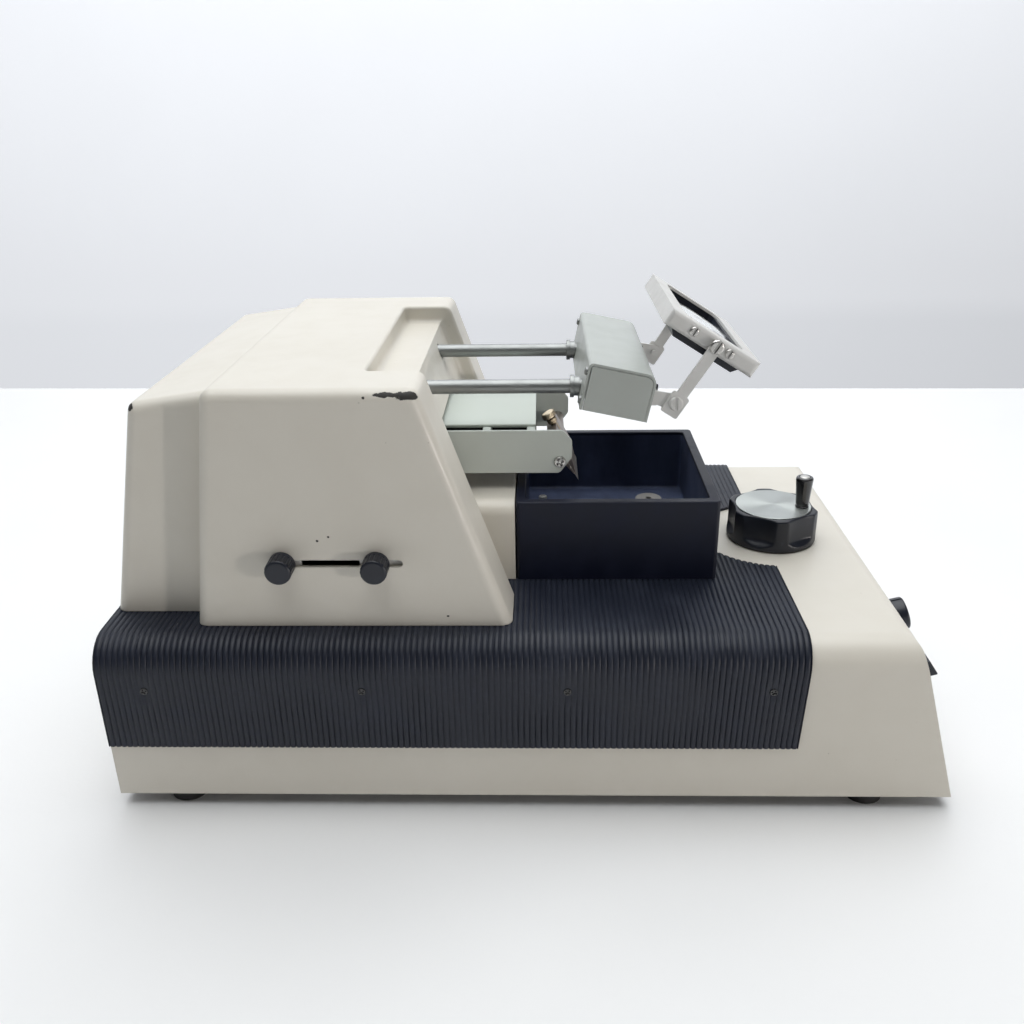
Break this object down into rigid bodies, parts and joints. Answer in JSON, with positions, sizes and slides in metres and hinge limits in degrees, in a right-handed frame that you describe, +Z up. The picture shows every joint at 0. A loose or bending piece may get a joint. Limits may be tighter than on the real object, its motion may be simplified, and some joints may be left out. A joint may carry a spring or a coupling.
{
  "type": "vibrating blade tissue sectioner",
  "caption": "Bench vibrating-blade tissue sectioner: hooded advance carriage, bath with specimen lift, lamp and magnifier on rods.",
  "frame": {"origin": "floor level under the middle of the base's footprint", "axes": "+X towards the control panel, +Y away from the side that has the two limit knobs, +Z up"},
  "size_m": [0.4653, 0.276, 0.2597],
  "materials": {
    "beige_paint": "satin cream-beige enamel",
    "mat_rubber": "matt ribbed charcoal-navy",
    "foot_rubber": "matt black",
    "bright_steel": "bright plated",
    "steel": "brushed",
    "bath_black": "satin navy-black",
    "grey_plastic": "matt grey",
    "black_plastic": "satin black",
    "gloss_black": "gloss black",
    "spun_aluminium": "spun face",
    "aluminium": "satin",
    "grey_enamel": "satin light grey-green enamel",
    "lamp_enamel": "satin warm grey enamel",
    "brass": "knurled, slightly tarnished",
    "belt_rubber": "matt",
    "winding": "varnished copper",
    "board": "satin green",
    "tube_glass": "phosphor white",
    "lens_glass": "polished",
    "white_enamel": "gloss white",
    "gunmetal": "dark grey"
  },
  "bodies": {
    "housing": {"base_shell": "beige_paint", "bottom_plate": "steel", "rubber_feet": "foot_rubber", "ribbed_mat": "mat_rubber", "case_screws": "bright_steel", "hood_shell": "beige_paint", "plinth_cover": "beige_paint", "bath_tray": "bath_black", "shaft_bushes": "brass", "drive_belts": "belt_rubber", "drive_brackets": "steel", "rail_frame": "gunmetal", "guide_rails": "steel", "advance_motor": "gunmetal", "rod_guides": "steel", "panel_hardware": "grey_plastic", "mains_inlet": "black_plastic", "power_supply": "board"},
    "handwheel": {"handwheel_skirt": "black_plastic", "handwheel_disc": "spun_aluminium", "handwheel_shaft": "steel"},
    "crank": {"crank_handle": "gloss_black"},
    "lift_nut": {"lift_pulley": "aluminium"},
    "specimen_lift": {"lift_column": "steel", "specimen_disc": "grey_plastic"},
    "screw": {"lead_screw": "steel"},
    "motor_wheel": {"motor_pulley": "aluminium"},
    "carriage": {"carriage_block": "aluminium", "carriage_bearings": "brass", "arm_channel": "grey_enamel", "vibration_coil": "winding"},
    "arm": {"arm_plates": "grey_enamel", "arm_cross_bars": "steel", "pivot_screws": "bright_steel"},
    "holder": {"blade_holder": "gunmetal", "blade": "steel"},
    "clamp_screw": {"thumb_screw": "brass"},
    "rear_limit": {"rear_limit_knob": "black_plastic", "rear_limit_switch": "aluminium"},
    "front_limit": {"front_limit_knob": "black_plastic", "front_limit_switch": "aluminium"},
    "lamp": {"lamp_cover": "lamp_enamel", "lamp_end_plates": "lamp_enamel", "lamp_rods": "bright_steel", "lamp_tube": "tube_glass", "lamp_reflector": "white_enamel", "lens_brackets": "aluminium"},
    "start": {"start_button": "black_plastic"},
    "stop": {"stop_button": "black_plastic"},
    "links": {"link_arms": "aluminium"},
    "magnifier": {"lens_frame": "aluminium", "lens_housing": "black_plastic", "magnifier_lens": "lens_glass", "frame_screws": "bright_steel"},
    "amplitude": {"amplitude_knob": "black_plastic"},
    "speed": {"speed_knob": "black_plastic"},
    "power_switch": {"power_rocker": "black_plastic"},
    "lamp_switch": {"lamp_rocker": "black_plastic"},
    "direction_lever": {"toggle_lever": "bright_steel"}
  },
  "joints": [
    {"name": "handwheel_turn", "type": "hinge", "parent": "housing", "child": "handwheel", "pos_m": [0.1524, 0, 0.104], "axis": [0, 0, 1], "range_deg": [-1440, 1440]},
    {"name": "crank_spin", "type": "hinge", "parent": "handwheel", "child": "crank", "pos_m": [0.1692, -0.0045, 0.125], "axis": [0, 0, 1], "continuous": true},
    {"name": "lift_nut_turn", "type": "hinge", "parent": "housing", "child": "lift_nut", "pos_m": [0.074, 0, 0.065], "axis": [0, 0, 1], "range_deg": [-1440, 1440]},
    {"name": "specimen_lift_slide", "type": "slide", "parent": "housing", "child": "specimen_lift", "axis": [0, 0, 1], "range_m": [-0.008, 0.008]},
    {"name": "lead_screw_turn", "type": "hinge", "parent": "housing", "child": "screw", "pos_m": [-0.13, 0, 0.144], "axis": [1, 0, 0], "range_deg": [-3600, 10800]},
    {"name": "carriage_slide", "type": "slide", "parent": "housing", "child": "carriage", "axis": [1, 0, 0], "range_m": [-0.02, 0.06]},
    {"name": "motor_turn", "type": "hinge", "parent": "housing", "child": "motor_wheel", "pos_m": [-0.203, 0, 0.072], "axis": [1, 0, 0], "range_deg": [-4500, 13500]},
    {"name": "vibration_slide", "type": "slide", "parent": "carriage", "child": "arm", "axis": [0, 1, 0], "range_m": [-0.0006, 0.0006], "stiffness_N_per_m": 20000},
    {"name": "blade_angle", "type": "hinge", "parent": "arm", "child": "holder", "pos_m": [0.0174, 0, 0.1702], "axis": [0, 1, 0], "range_deg": [-12, 14]},
    {"name": "thumb_screw_turn", "type": "hinge", "parent": "holder", "child": "clamp_screw", "pos_m": [0.01044, 0, 0.18602], "axis": [0.4909, 0, -0.8712], "range_deg": [-720, 0]},
    {"name": "rear_limit_slide", "type": "slide", "parent": "housing", "child": "rear_limit", "axis": [1, 0, 0], "range_m": [0, 0.028]},
    {"name": "front_limit_slide", "type": "slide", "parent": "housing", "child": "front_limit", "axis": [1, 0, 0], "range_m": [-0.028, 0.006]},
    {"name": "lamp_slide", "type": "slide", "parent": "housing", "child": "lamp", "axis": [1, 0, 0], "range_m": [-0.055, 0.015]},
    {"name": "start_press", "type": "slide", "parent": "lamp", "child": "start", "axis": [-0.9781, 0, 0.2079], "range_m": [0, 0.0025], "stiffness_N_per_m": 400},
    {"name": "stop_press", "type": "slide", "parent": "lamp", "child": "stop", "axis": [-0.9781, 0, 0.2079], "range_m": [0, 0.0025], "stiffness_N_per_m": 400},
    {"name": "link_swing", "type": "hinge", "parent": "lamp", "child": "links", "pos_m": [0.08, 0, 0.2089], "axis": [0, 1, 0], "range_deg": [-20, 35]},
    {"name": "lens_tilt", "type": "hinge", "parent": "links", "child": "magnifier", "pos_m": [0.1, 0, 0.24], "axis": [0, 1, 0], "range_deg": [-15, 40]},
    {"name": "amplitude_turn", "type": "hinge", "parent": "housing", "child": "amplitude", "pos_m": [0.21228, -0.045, 0.068], "axis": [0.9591, 0, 0.2832], "range_deg": [-135, 135]},
    {"name": "speed_turn", "type": "hinge", "parent": "housing", "child": "speed", "pos_m": [0.21819, 0.005, 0.048], "axis": [0.9591, 0, 0.2832], "range_deg": [-135, 135]},
    {"name": "power_rock", "type": "hinge", "parent": "housing", "child": "power_switch", "pos_m": [0.20964, -0.107, 0.07483], "axis": [0, 1, 0], "range_deg": [-9, 9]},
    {"name": "lamp_rock", "type": "hinge", "parent": "housing", "child": "lamp_switch", "pos_m": [0.21761, 0.06, 0.04783], "axis": [0, 1, 0], "range_deg": [-9, 9]},
    {"name": "direction_tip", "type": "hinge", "parent": "housing", "child": "direction_lever", "pos_m": [0.21876, 0.105, 0.04817], "axis": [0, 1, 0], "range_deg": [-12, 12]}
  ],
  "couplings": [
    {"joint": "handwheel_turn", "follows": "specimen_lift_slide", "rad_per_m": 3141.6},
    {"joint": "lift_nut_turn", "follows": "specimen_lift_slide", "rad_per_m": 3141.6},
    {"joint": "lead_screw_turn", "follows": "carriage_slide", "rad_per_m": 3141.6},
    {"joint": "motor_turn", "follows": "carriage_slide", "rad_per_m": 3927}
  ]
}
